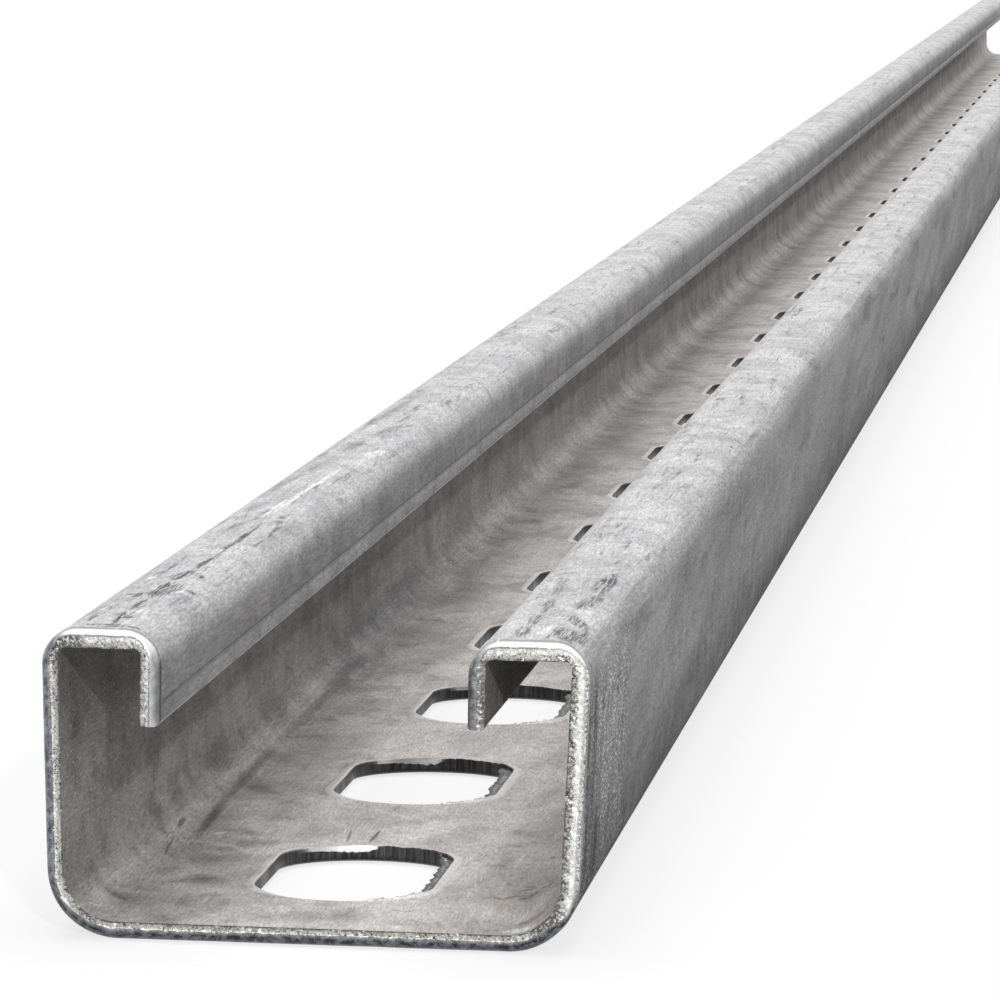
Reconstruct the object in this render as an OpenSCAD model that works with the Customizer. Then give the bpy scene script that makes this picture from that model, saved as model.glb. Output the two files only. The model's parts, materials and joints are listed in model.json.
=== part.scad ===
// Perforated strut channel: one roll-formed C section with inturned lips and
// a row of round-ended slots punched along its web. It lies on its web with
// the mouth up. X runs across the channel, Y along it and Z up. The origin is
// under the middle of the piece, on the floor.

/* [Channel] */
// Length of the piece
channel_l = 2000; // [200:50:6000]
// Width over the two side walls, where they are widest
channel_w = 41.3; // [38:0.1:50]
// Height from the back of the web to the top of the mouth
channel_h = 23.4; // [18:0.1:62]
// Thickness of the steel sheet
sheet_t = 1.4; // [1:0.1:2.5]
// Lean of each side wall away from upright, in degrees
wall_lean = 2; // [0:0.1:3]

/* [Bends] */
// Outer radius of the two bends beside the web
web_bend_r = 5.4; // [3:0.1:8]
// Outer radius of the four bends round the mouth
rim_bend_r = 2.8; // [2.6:0.1:3.5]
// Inner radius of the four bends round the mouth
rim_inner_r = 0.5; // [0.2:0.1:1]

/* [Lips] */
// Width of the left flange, from the outside of its wall to the face of its lip
left_flange_w = 9; // [7.5:0.1:12]
// Width of the right flange, from the outside of its wall to the face of its lip
right_flange_w = 9.2; // [7.5:0.1:12]
// Depth of the left lip, from the top of the mouth to its edge
left_lip_h = 7.2; // [5:0.1:9]
// Depth of the right lip, from the top of the mouth to its edge
right_lip_h = 6.7; // [5:0.1:9]
// Radius along the lower edges of the lips
lip_edge_r = 0.3; // [0.1:0.05:0.4]

/* [Slots] */
// Width of each slot, which is the diameter of its ends
slot_w = 14; // [6:0.5:18]
// Length of each slot over its round ends
slot_l = 27; // [20:0.5:32]
// Distance from one slot's middle to the next
slot_pitch = 50; // [40:1:100]
// Distance from the near end of the channel to the first slot's middle
first_slot = 26.5; // [20:0.5:60]
// Least steel left between the last slot and the far end
end_margin = 8; // [5:0.5:40]

/* [Hidden] */
$fn = 96;

// How far a cutting shape runs past the face that it cuts
cut_past = 1;
// How far the point of a bend's wedge runs past the sharp corner
wedge_past = 0.05;

steel = [0.63, 0.63, 0.62];
near_end = -channel_l / 2;
web_inner_r = web_bend_r - sheet_t;
slot_r = slot_w / 2;
slot_straight = slot_l - slot_w;
slot_room = channel_l - first_slot - slot_l / 2 - end_margin;
slot_count = floor(slot_room / slot_pitch) + 1;

// Half the outer width of the section at height z, on the line of the wall.
// The wall is tangent to the bend at the mouth, which is the widest place.
function wall_x(z) =
    let (bend_x = channel_w / 2 - rim_bend_r, bend_z = channel_h - rim_bend_r)
    bend_x + rim_bend_r / cos(wall_lean) + (z - bend_z) * tan(wall_lean);

// The same for the inside of the wall
function inner_x(z) = wall_x(z) - sheet_t / cos(wall_lean);

// Corners of one half of the section before it is bent round. Each is
// [x, z, radius, turn], and turn is 1 where the steel's corner points outwards.
function half_section(flange_w, lip_h) =
    let (
        lip_x = channel_w / 2 - flange_w,
        lip_z = channel_h - lip_h,
        under_z = channel_h - sheet_t
    )
    [
        [wall_x(0), 0, web_bend_r, 1],
        [wall_x(channel_h), channel_h, rim_bend_r, 1],
        [lip_x, channel_h, rim_bend_r, 1],
        [lip_x, lip_z, lip_edge_r, 1],
        [lip_x + sheet_t, lip_z, lip_edge_r, 1],
        [lip_x + sheet_t, under_z, rim_inner_r, -1],
        [inner_x(under_z), under_z, rim_inner_r, -1],
        [inner_x(sheet_t), sheet_t, web_inner_r, -1]
    ];

function mirrored(corners) = [
    for (i = [len(corners) - 1 : -1 : 0])
        [-corners[i][0], corners[i][1], corners[i][2], corners[i][3]]
];

section = concat(
    half_section(right_flange_w, right_lip_h),
    mirrored(half_section(left_flange_w, left_lip_h))
);

function point(i) =
    let (c = section[(i + len(section)) % len(section)]) [c[0], c[1]];
function unit(v) = v / norm(v);

// What lies between corner i of the section and the arc that rounds it
module bend_wedge(i) {
    r = section[i][2];
    corner = point(i);
    to_last = unit(point(i - 1) - corner);
    to_next = unit(point(i + 1) - corner);
    half_angle = acos(to_last * to_next) / 2;
    middle = unit(to_last + to_next);
    reach = r / tan(half_angle);
    centre = corner + middle * r / sin(half_angle);
    difference() {
        polygon([
            corner - middle * wedge_past,
            corner + to_last * reach,
            centre,
            corner + to_next * reach
        ]);
        translate(centre) circle(r);
    }
}

module bend_wedges(turn) {
    for (i = [0 : len(section) - 1])
        if (section[i][3] == turn)
            bend_wedge(i);
}

module bent_section() {
    difference() {
        union() {
            polygon([for (i = [0 : len(section) - 1]) point(i)]);
            bend_wedges(-1);
        }
        bend_wedges(1);
    }
}

module slot_cut() {
    translate([0, 0, -cut_past])
        linear_extrude(sheet_t + 2 * cut_past) {
            square([slot_w, slot_straight], center = true);
            for (end = [-1, 1])
                translate([0, end * slot_straight / 2])
                    circle(slot_r);
        }
}

module strut_channel() {
    color(steel)
        difference() {
            translate([0, channel_l / 2, 0])
                rotate([90, 0, 0])
                    linear_extrude(channel_l)
                        bent_section();
            for (i = [0 : slot_count - 1])
                translate([0, near_end + first_slot + i * slot_pitch, 0])
                    slot_cut();
        }
}

strut_channel();
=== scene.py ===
import json
import math
from collections import namedtuple

import bmesh
import bpy
import numpy as np
from mathutils import Euler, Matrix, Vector, noise


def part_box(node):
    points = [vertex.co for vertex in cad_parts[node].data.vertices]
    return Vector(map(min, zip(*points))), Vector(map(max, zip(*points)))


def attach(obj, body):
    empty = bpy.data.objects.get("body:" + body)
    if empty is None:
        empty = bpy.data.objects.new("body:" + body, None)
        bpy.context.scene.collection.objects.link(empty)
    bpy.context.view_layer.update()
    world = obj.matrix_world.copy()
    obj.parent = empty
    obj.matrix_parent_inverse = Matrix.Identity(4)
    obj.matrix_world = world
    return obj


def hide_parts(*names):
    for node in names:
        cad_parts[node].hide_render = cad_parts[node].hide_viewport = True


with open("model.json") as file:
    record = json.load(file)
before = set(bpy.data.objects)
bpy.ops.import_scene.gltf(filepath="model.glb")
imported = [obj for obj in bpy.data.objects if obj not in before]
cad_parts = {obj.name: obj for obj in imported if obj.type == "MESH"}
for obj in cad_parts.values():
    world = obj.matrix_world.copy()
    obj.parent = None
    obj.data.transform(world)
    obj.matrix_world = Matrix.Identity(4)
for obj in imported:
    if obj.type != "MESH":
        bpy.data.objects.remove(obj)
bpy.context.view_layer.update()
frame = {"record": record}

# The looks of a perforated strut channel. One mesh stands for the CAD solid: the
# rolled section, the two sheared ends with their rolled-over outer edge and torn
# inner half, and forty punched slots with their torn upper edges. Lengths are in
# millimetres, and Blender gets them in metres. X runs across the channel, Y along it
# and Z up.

MM = 0.001
NODE = "strut_channel"
STEEL_SLOT = "galvanised_steel"

# ---- The channel's own sizes, from the frame and its mounts ----

LOW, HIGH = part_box(NODE)
HALF_W = (HIGH.x - LOW.x) / 2 / MM
HEIGHT = HIGH.z / MM
NEAR_Y = LOW.y / MM
FAR_Y = HIGH.y / MM

MOUNTS = {mount["name"]: mount for mount in frame["record"]["mounts"]}
FIRST_PAIR = MOUNTS["near_slots_1_2"]
PITCH = FIRST_PAIR["dims"]["spacing_y_mm"]
SLOT_R = FIRST_PAIR["dims"]["hole_r_mm"]
SLOT_STRAIGHT = FIRST_PAIR["dims"]["slot_length_mm"] - 2 * SLOT_R
FIRST_SLOT_Y = FIRST_PAIR["pos_m"][1] / MM - PITCH / 2
LAST_SLOT_Y = MOUNTS["far_slots_1_2"]["pos_m"][1] / MM + PITCH / 2
SLOT_COUNT = round((LAST_SLOT_Y - FIRST_SLOT_Y) / PITCH) + 1

# The rest of the section, as the CAD has it
SHEET_T = 1.4
WALL_LEAN = math.radians(2)
WEB_BEND_R = 5.4
RIM_BEND_R = 2.8
RIM_INNER_R = 0.5
LEFT_FLANGE_W = 9
RIGHT_FLANGE_W = 9.2
LEFT_LIP_H = 7.2
RIGHT_LIP_H = 6.7
LIP_EDGE_R = 0.3

# ---- What the rolling, the shear and the punch left on the steel ----

# A roll's line along the mouth side of each lip, above the lip's edge
GROOVE_UP = 1.65
GROOVE_HALF = 0.24
GROOVE_DEEP = 0.1

# The shear rolls the outer edge over and tears the inner part of the sheet
ROLLOVER_DEEP = 1.35
ROLLOVER_SHARE = 0.5
WEB_ROLLOVER_SHARE = 0.6
FLANGE_ROLLOVER_SHARE = 0.25
RIGHT_WALL_ROLLOVER = 0.35
FRACTURE_SINK = 0.05

# How far the near slots sit off the middle of the web, and how far others may
SLOT_SHIFTS = {0: -0.1, 1: -0.7, 2: 0.2}
SLOT_SHIFT_SPREAD = 0.25
# The punch comes from below, so that the slot tears towards the web's top. How large
# the near slots' torn flaps are, as shares of the usual one
FLAP_SIZES = {0: 0.85, 1: 1, 2: 1}

# ---- How finely each place is meshed ----

WEB_STEPS = 20
WEB_BEND_STEPS = 8
RIM_BEND_STEPS = 6
WALL_STEPS = 3
ROWS_PER_SLOT = 6
NEAR_STEP = 0.105
FAR_STEP = 0.45
# A share of a step that is too small to need a step of its own
HAIR = 1e-6
END_ROOM = 4
FINE_SLOTS = 3
FINE_PER_ARC_STEP = 6
FINE_PER_SIDE_STEP = 10
# How far outside a slot's edge the coarse row round it lies
COARSE_OFF = 1.9
ROLLOVER_ROWS = 6
FRACTURE_ROWS = 6

# The share of a lip's edge that each of its two rounded corners takes
ROUND_SHARE = 0.25

SHARP_ANGLE = math.radians(42)


# ---- Sums that the shapes share ----

def ripple(x, y, size, stretch=1, seed=0):
    """Smooth noise from about -1 to 1, with bumps of a size, longer along y by stretch."""
    return noise.noise(Vector((x / size, y / (size * stretch), seed)))


def mixed(a, b, share):
    return a + (b - a) * share


def eased(value, low, high):
    f = min(max((value - low) / (high - low), 0), 1)
    return f * f * (3 - 2 * f)


def evenly(count):
    return [i / count for i in range(count + 1)]


# ---- The section: the sheet as a strip from the left lip to the right one ----

Stretch = namedtuple("Stretch", "name at stops")


def on_circle(centre, radius, angle):
    return np.array([centre[0] + radius * math.cos(angle), centre[1] + radius * math.sin(angle)])


def bend(outer_centre, outer_r, inner_centre, inner_r, start, end):
    """The outer and the inner point of a bend at a share f of its angle."""
    def at(f):
        angle = mixed(start, end, f)
        return on_circle(outer_centre, outer_r, angle), on_circle(inner_centre, inner_r, angle)
    return at


def flat(start, end):
    """The outer and the inner point of a flat stretch at a share f of its length."""
    def at(f):
        return mixed(start[0], end[0], f), mixed(start[1], end[1], f)
    return at


def lip_face(start, end, lip_z, groove_deep):
    """A lip's flat stretch, with the roll's line pressed into its mouth side."""
    plain = flat(start, end)

    def at(f):
        outer, inner = plain(f)
        off = abs(outer[1] - lip_z - GROOVE_UP) / GROOVE_HALF
        pressed = groove_deep * (1 + math.cos(math.pi * min(off, 1))) / 2
        return outer + np.array([pressed, 0]), inner
    return at


def half_sheet(flange_w, lip_h, groove_deep):
    """The stretches of half the sheet, from the web's middle to the lip's edge."""
    slope = math.tan(WALL_LEAN)
    per_cos = 1 / math.cos(WALL_LEAN)
    top = HEIGHT - RIM_BEND_R
    bend_x = HALF_W - RIM_BEND_R

    def wall_x(z, inset):
        return bend_x + (z - top) * slope + (RIM_BEND_R - inset) * per_cos

    under = HEIGHT - SHEET_T - RIM_INNER_R
    web_centre = (wall_x(WEB_BEND_R, WEB_BEND_R), WEB_BEND_R)
    rim_inner = (wall_x(under, SHEET_T + RIM_INNER_R), under)
    lip_x = HALF_W - flange_w
    lip_z = HEIGHT - lip_h
    lip_centre = (lip_x + RIM_BEND_R, top)
    lip_inner = (lip_x + SHEET_T + RIM_INNER_R, under)
    down = -math.pi / 2
    side = -WALL_LEAN
    up = math.pi / 2
    web_bend = bend(web_centre, WEB_BEND_R, web_centre, WEB_BEND_R - SHEET_T, down, side)
    rim_bend = bend((bend_x, top), RIM_BEND_R, rim_inner, RIM_INNER_R, side, up)
    lip_bend = bend(lip_centre, RIM_BEND_R, lip_inner, RIM_INNER_R, up, math.pi)
    middle = (np.array([0, 0]), np.array([0, SHEET_T]))
    lip_end_z = lip_z + LIP_EDGE_R
    lip_end = (np.array([lip_x, lip_end_z]), np.array([lip_x + SHEET_T, lip_end_z]))
    face_h = top - lip_end_z
    off_groove = [k * GROOVE_HALF for k in (1, 0.5, 0, -0.5, -1)]
    groove = [1 - (GROOVE_UP - LIP_EDGE_R + off) / face_h for off in off_groove]
    return [
        Stretch("web", flat(middle, web_bend(0)), evenly(WEB_STEPS // 2)),
        Stretch("web_bend", web_bend, evenly(WEB_BEND_STEPS)),
        Stretch("wall", flat(web_bend(1), rim_bend(0)), evenly(WALL_STEPS)),
        Stretch("rim_bend", rim_bend, evenly(RIM_BEND_STEPS)),
        Stretch("flange", flat(rim_bend(1), lip_bend(0)), evenly(2)),
        Stretch("lip_bend", lip_bend, evenly(RIM_BEND_STEPS)),
        Stretch("lip", lip_face(lip_bend(1), lip_end, lip_z, groove_deep), [0, *groove, 0.96, 1]),
    ]


def mirrored(stretch):
    def at(f):
        outer, inner = stretch.at(1 - f)
        return outer * (-1, 1), inner * (-1, 1)
    return Stretch(stretch.name, at, [1 - stop for stop in reversed(stretch.stops)])


def whole_sheet(groove_deep):
    left = [mirrored(s) for s in reversed(half_sheet(LEFT_FLANGE_W, LEFT_LIP_H, groove_deep))]
    return left + half_sheet(RIGHT_FLANGE_W, RIGHT_LIP_H, groove_deep)


class Columns:
    """The sheet's matching outer and inner points, from the left lip to the right one.

    coarse says which columns the long faces use. Between them lie finer ones, no
    further apart than step, for the sheared ends."""

    def __init__(self, sheet, step=math.inf):
        columns = [(*sheet[0].at(0), sheet[0].name)]
        self.coarse = [0]
        for stretch in sheet:
            for start, end in zip(stretch.stops, stretch.stops[1:]):
                length = np.linalg.norm(stretch.at(end)[0] - stretch.at(start)[0])
                count = max(1, math.ceil(length / step - HAIR))
                for f in evenly(count)[1:]:
                    columns.append((*stretch.at(mixed(start, end, f)), stretch.name))
                self.coarse.append(len(columns) - 1)
        outer, inner, self.name = zip(*columns)
        self.outer, self.inner = np.array(outer), np.array(inner)
        self.outer_across = self.measured(self.outer)
        self.inner_across = self.measured(self.inner)

    def measured(self, points):
        """The distance of each column from the web's middle along one skin."""
        steps = np.linalg.norm(np.diff(points, axis=0), axis=1)
        along = np.concatenate([[0], np.cumsum(steps)])
        middle = np.argmin(abs(points[:, 0]) + points[:, 1])
        return along - along[middle]

    def edge(self, side, share):
        """A point on the rounded edge of a lip, from its outer skin to its inner one."""
        last = -1 if side > 0 else 0
        outer, inner = self.outer[last], self.inner[last]
        turn = math.pi / 2 * min(share / ROUND_SHARE, (1 - share) / ROUND_SHARE, 1)
        cut_in = side * LIP_EDGE_R * (1 - math.cos(turn))
        f = min(max((share - ROUND_SHARE) / (1 - 2 * ROUND_SHARE), 0), 1)
        x = mixed(outer[0] + cut_in, inner[0] - cut_in, f)
        return np.array([x, outer[1] - LIP_EDGE_R * math.sin(turn)])


# ---- Gathering the mesh ----

ZONES = ("across", "outside", "cut", "roll", "slot_wall", "torn", "rim")
FINISHES = ("mouth", "flange", "wall", "cut", "slot")
# Where the wall's finish gives way to the flange's, part of the way round the bend
SEAM_TURN = math.radians(44)
WALL_TOP = HEIGHT - RIM_BEND_R * (1 - math.sin(SEAM_TURN))


class Shell:
    """Points, faces and the zones of the steel's surface that each point is in."""

    def __init__(self):
        self.points = []
        self.faces = []
        self.zones = {zone: [] for zone in ZONES}

    def point(self, x, y, z, **zones):
        self.points.append((x, y, z))
        for zone in ZONES:
            self.zones[zone].append(zones.get(zone, 0))
        return len(self.points) - 1

    def bridge(self, first, second, closed=False):
        """Faces between two rows of as many points."""
        count = len(first)
        for k in range(count if closed else count - 1):
            n = (k + 1) % count
            self.faces.append((first[k], first[n], second[n], second[k]))

    def zip_rows(self, coarse, fine):
        """Faces between a closed row of points and a finer one. coarse holds pairs: a
        point and its own place in the fine row."""
        count = len(fine)
        pairs = [*coarse, (coarse[0][0], count)]
        for (a, start), (b, end) in zip(pairs, pairs[1:]):
            middle = (start + end) // 2
            for k in range(start, end):
                corner = a if k < middle else b
                self.faces.append((corner, fine[k % count], fine[(k + 1) % count]))
            self.faces.append((a, fine[middle % count], b))

    def to_mesh(self, name):
        mesh = bpy.data.meshes.new(name)
        mesh.from_pydata(np.array(self.points) * MM, [], self.faces)
        for zone, values in self.zones.items():
            attribute = mesh.attributes.new(zone, "FLOAT", "POINT")
            attribute.data.foreach_set("value", np.array(values, np.float32))
        turned = bmesh.new()
        turned.from_mesh(mesh)
        bmesh.ops.recalc_face_normals(turned, faces=turned.faces)
        turned.to_mesh(mesh)
        turned.free()
        mesh.shade_smooth()
        mesh.set_sharp_from_angle(angle=SHARP_ANGLE)
        finishes = [self.finish(face.vertices) for face in mesh.polygons]
        mesh.polygons.foreach_set("material_index", finishes)
        return mesh

    def finish(self, corners):
        """Which of the finishes a face has."""
        def most(zone):
            return max(self.zones[zone][c] for c in corners)
        if most("cut") + most("roll") > 0:
            return FINISHES.index("cut")
        if most("slot_wall") + most("torn") + most("rim") > 0:
            return FINISHES.index("slot")
        if most("outside") < 0.5:
            return FINISHES.index("mouth")
        x = abs(sum(self.points[c][0] for c in corners)) / len(corners)
        z = max(self.points[c][2] for c in corners)
        on_flange = z > WALL_TOP + 0.05 or (z > HEIGHT / 2 and x < HALF_W - 2 * RIM_BEND_R)
        return FINISHES.index("flange" if on_flange else "wall")


# ---- The long faces ----

EDGE_SHARES = (
    [ROLLOVER_SHARE * (1 - math.cos(math.pi / 2 * f)) for f in evenly(ROLLOVER_ROWS)]
    + [mixed(ROLLOVER_SHARE, 1, f) for f in evenly(FRACTURE_ROWS)[1:]]
)
COARSE_EDGE_ROWS = range(2, len(EDGE_SHARES) - 2, 2)


class LongRow:
    """One ring of points round the section at y. Only some rings have the web's points."""

    def __init__(self, shell, columns, y, with_web):
        self.y = y
        web = [j for j, name in enumerate(columns.name) if name == "web"]
        first, last = web[0] - 1, web[-1]
        self.web = (first, last)
        self.outer = self.skin(shell, columns.outer, columns.outer_across, 1, with_web)
        self.inner = self.skin(shell, columns.inner, columns.inner_across, 0, with_web)
        self.edges = {
            side: [self.edge_point(shell, columns, side, k) for k in COARSE_EDGE_ROWS]
            for side in (-1, 1)
        }

    def skin(self, shell, points, across, outside, with_web):
        first, last = self.web
        return [
            shell.point(x, self.y, z, across=across[j], outside=outside)
            if with_web or j <= first or j >= last else None
            for j, (x, z) in enumerate(points)
        ]

    def edge_point(self, shell, columns, side, k):
        x, z = columns.edge(side, EDGE_SHARES[k])
        end = -1 if side > 0 else 0
        across = mixed(columns.outer_across[end], columns.inner_across[end], EDGE_SHARES[k])
        return shell.point(x, self.y, z, across=across, outside=1 - EDGE_SHARES[k])

    def ring(self):
        """All the points in order round the section, with the web's."""
        return self.outer + self.edges[1] + self.inner[::-1] + self.edges[-1][::-1]

    def open_rings(self):
        """The stretches outside the web: each side's, from the web's back to its top."""
        first, last = self.web
        right = self.outer[last:] + self.edges[1] + self.inner[last:][::-1]
        left = self.outer[:first + 1][::-1] + self.edges[-1] + self.inner[:first + 1]
        return right, left


# ---- The sheared ends ----

def rollover_here(columns, j):
    """How much of the sheet's thickness is rolled over at a column, and how deep."""
    x, z = columns.outer[j]
    on_flange = eased(z, HEIGHT - 1.2, HEIGHT - 0.1)
    on_right = eased(x, HALF_W - 2.2, HALF_W - 1.2) * (1 - on_flange)
    across = columns.outer_across[j]
    slow = 0.05 * ripple(across, 0, 6, seed=5) + 0.03 * ripple(across, 0, 1.1, seed=6)
    lesser = mixed(1, RIGHT_WALL_ROLLOVER, on_right)
    side_share = mixed(WEB_ROLLOVER_SHARE, ROLLOVER_SHARE, eased(z, 0.3, 3))
    share = mixed(side_share, FLANGE_ROLLOVER_SHARE, on_flange) * lesser + slow
    deep = ROLLOVER_DEEP * lesser + 0.12 * ripple(across, 0, 3, seed=4)
    return share, deep


def fracture_relief(across, depth):
    """How far the torn half of the cut stands back at a point."""
    slow = 0.05 * ripple(across, depth, 0.9, 1.5, seed=1)
    fine = 0.055 * ripple(across, depth, 0.24, 2.2, seed=2)
    pit = max(0, ripple(across, depth, 0.33, 1.3, seed=3) - 0.22)
    return slow + fine + 0.32 * pit


def cut_point(shell, columns, j, row, plane_y, inward):
    """One point of a sheared face, between the outer skin and the inner one."""
    share = EDGE_SHARES[row]
    rolled_share, rolled_deep = rollover_here(columns, j)
    turn = math.pi / 2 * min(row / ROLLOVER_ROWS, 1)
    if row <= ROLLOVER_ROWS:
        w = rolled_share * (1 - math.cos(turn))
    else:
        w = mixed(rolled_share, 1, (row - ROLLOVER_ROWS) / FRACTURE_ROWS)
    last = len(columns.outer) - 1
    if j in (0, last):
        x, z = columns.edge(1 if j else -1, share)
    else:
        x, z = mixed(columns.outer[j], columns.inner[j], w)
    across = mixed(columns.outer_across[j], columns.inner_across[j], w)
    rolled = rolled_deep * (1 - math.sin(turn))
    torn = eased(row, ROLLOVER_ROWS - 0.5, ROLLOVER_ROWS + 1)
    back = max(0, rolled + torn * (FRACTURE_SINK + fracture_relief(across, w * SHEET_T)))
    # roll is 0.8 on the outer rim row, so that the rolled edge's painted dark reflection line
    # reaches the rim
    zones = {"across": across, "outside": 1 - w, "cut": torn, "roll": 1 - torn if row else 0.8}
    return shell.point(x, plane_y + inward * back, z, **zones)


def sheared_end(shell, columns, row, plane_y):
    """Closes the channel at plane_y, up to the long faces' row."""
    inward = 1 if row.y > plane_y else -1
    count = len(columns.outer)
    last_row = len(EDGE_SHARES) - 1
    face = [
        [cut_point(shell, columns, j, k, plane_y, inward) for j in range(count)]
        for k in range(last_row + 1)
    ]
    for first, second in zip(face, face[1:]):
        shell.bridge(first, second)
    right_edge = [line[-1] for line in face[1:-1]]
    left_edge = [line[0] for line in face[-2:0:-1]]
    rim = face[0] + right_edge + face[-1][::-1] + left_edge
    behind = [step_back(shell, point, plane_y, inward) for point in rim]
    shell.bridge(rim, behind, closed=True)
    places = (
        list(columns.coarse)
        + [count - 1 + k for k in COARSE_EDGE_ROWS]
        + [2 * count + last_row - 2 - j for j in reversed(columns.coarse)]
        + [len(rim) - k for k in reversed(COARSE_EDGE_ROWS)]
    )
    shell.zip_rows(list(zip(row.ring(), places)), behind)


def step_back(shell, point, plane_y, inward):
    """A point a little further along the steel than one on the cut's rim."""
    x, y, z = shell.points[point]
    step = mixed(0.25, 0.45, min(abs(y - plane_y) / ROLLOVER_DEEP, 1))
    zones = {zone: shell.zones[zone][point] for zone in ("across", "outside")}
    return shell.point(x, y + inward * step, z, **zones)


# ---- The slots ----

class SlotPath:
    """Places round a slot, from its near left corner over the near end and back.

    Each place is a point on the slot's edge and the direction away from the slot."""

    def __init__(self, arc_steps, side_steps, middle):
        half = SLOT_STRAIGHT / 2
        turns = [math.pi * (1 + f) for f in evenly(arc_steps)[:-1]]
        near_end = [(math.cos(turn), math.sin(turn), -half) for turn in turns]
        right_side = [(1, 0, mixed(-half, half, f)) for f in evenly(side_steps)[:-1]]
        first_half = np.array(near_end + right_side)
        out = first_half[:, :2]
        edge = SLOT_R * out + first_half[:, 2:] * (0, 1)
        self.outward = np.concatenate([out, -out])
        self.points = middle + np.concatenate([edge, -edge])

    def ring(self, shell, off, height, **zones):
        """A closed row of points at a distance outside the edge and a height. off,
        height and the zones are one number each or one for every place."""
        made = []
        for k, (point, out) in enumerate(zip(self.points, self.outward)):
            x, y = point + out * pick(off, k)
            here = {zone: pick(value, k) for zone, value in zones.items()}
            made.append(shell.point(x, y, pick(height, k), across=x, **here))
        return made


def pick(value, k):
    return value[k] if np.ndim(value) else value


def punched(place, out_y, seed, flap_size):
    """What the punch did to a slot's top edge at a place. out_y is how much the edge
    faces along the channel there. The result has five lengths:

    lift: how far the web's rim is pushed up
    flap: how far a torn flap, flap_size times the usual one, reaches in on the right
    shear: how deep the torn slope at the far end goes
    burr: how far the edge stands up, ragged
    bite: how far the torn face stands in or back, ragged"""
    x, y = place
    side = x / SLOT_R
    along = y / (SLOT_R + SLOT_STRAIGHT / 2)
    ragged = ripple(x + y, x - y, 0.42, seed=seed)
    slow = ripple(x + y, x - y, 2.5, seed=seed + 3)
    fine = ripple(x + y, x - y, 0.21, seed=seed + 0.5)
    near_right = eased(-out_y, 0.15, 0.6) * eased(side, 0.28, 0.5)
    on_right = eased(side, 0.74, 0.96)
    far = eased(out_y, 0.35, 0.8)
    lift = 0.17 * eased(abs(side), 0.55, 0.95) * (1 + 0.2 * slow)
    flap = (1.15 + 0.1 * along + 0.25 * slow + 0.15 * ragged) * on_right
    flap = max(flap, near_right * (0.6 + 0.6 * max(0, ragged + slow)))
    far_shear = far * mixed(0.3, 1.35, eased(side, -0.8, -0.12)) * eased(side, -0.95, -0.75)
    far_shear *= 1 - eased(side + 0.08 * ragged, -0.1, 0.02)
    shear = 0.24 * far_shear * (1 + 0.5 * ragged + 0.3 * slow)
    burr = near_right * max(0, 0.1 + 0.2 * fine + 0.12 * ragged)
    burr += 0.07 * far * eased(side, -0.02, 0.12) * (1 + ragged + slow)
    burr += 0.04 * far_shear * (1 + fine)
    bite = 0.05 * fine * max(near_right, on_right, far_shear)
    return lift, flap * flap_size, shear, max(burr, 0), bite


def slot_rings(shell, path, middle, seed, flap_size, fine):
    """The rows of a slot, from its raised rim on the web's top down to the web's back."""
    places = zip(path.points - middle, path.outward)
    lengths = [punched(place, out[1], seed, flap_size) for place, out in places]
    lift, flap, shear, burr, bite = np.array(lengths).T
    top = SHEET_T
    torn = np.clip((flap + shear) / 0.1, 0, 1)
    sheared = np.clip(shear / 0.1, 0, 1)
    folded = 0.9 * np.clip(burr / 0.08, 0, 1) * (1 - sheared)
    pale = np.clip(lift / 0.15, 0, 1)
    stepped = torn * (1 - sheared)
    reach = flap + 0.45 * shear
    under = top - 0.12 * stepped
    brink = dict(rim=0.4 + 0.6 * pale, torn=np.maximum(0.5 * torn, sheared), slot_wall=folded)
    # At the step down onto a flap and at the flap's torn edge, the slot-wall value paints shade
    shaded_drop = dict(torn=torn, slot_wall=np.maximum(1 - torn, stepped))
    middle_flap = dict(torn=torn, slot_wall=np.maximum(1 - torn, 0.3 * stepped))
    shaded_tip = dict(torn=torn, slot_wall=1 - sheared)
    wall = dict(slot_wall=1)
    # How far outside the edge, how high, the zones, and whether coarse slots have it
    rows = [
        (0.95, top, dict(), True),
        (0.6, top + 0.35 * lift, dict(rim=0.5 * pale), False),
        (0.3, top + 0.85 * lift, dict(rim=0.3 + 0.7 * pale), False),
        (0.1, top + lift + 0.4 * burr, dict(rim=0.3 + 0.7 * pale), True),
        (0, top + 0.8 * lift + burr, brink, True),
        (-0.12 * reach, under - 0.04 - 0.15 * shear, shaded_drop, False),
        (-0.55 * reach + bite, under - 0.06 - 0.4 * shear, middle_flap, True),
        (-reach, under - 0.14 - 0.9 * shear, shaded_tip, True),
        (-0.85 * reach, under - 0.24 - shear, wall, False),
        (-0.3 * reach, top - 0.6 - 0.3 * shear, wall, False),
        (0, 0.48, wall, True),
        (0.04, 0.36, dict(slot_wall=1, outside=0.3), False),
        (0.14, 0.26, dict(slot_wall=0.9, outside=0.6), True),
        (0.36, 0.16, dict(slot_wall=0.4, outside=0.8), False),
        (0.75, 0.07, dict(outside=1), False),
        (1.25, 0, dict(outside=1), True),
    ]
    return [path.ring(shell, off, z, **zones) for off, z, zones, always in rows if fine or always]


def web_frame(near_row, side_rows, far_row, skin):
    """The closed row of points round one slot's part of the web, on one skin."""
    first, last = near_row.web
    near, far = getattr(near_row, skin), getattr(far_row, skin)
    right = [getattr(row, skin)[last] for row in side_rows]
    left = [getattr(row, skin)[first] for row in side_rows]
    return near[first:last + 1] + right + far[first:last + 1][::-1] + left[::-1]


def fine_places():
    """Where the coarse places of a slot lie in its fine row, in order."""
    steps = 2 * (WEB_STEPS * [FINE_PER_ARC_STEP] + ROWS_PER_SLOT * [FINE_PER_SIDE_STEP])
    return [sum(steps[:k]) for k in range(len(steps))]


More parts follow.
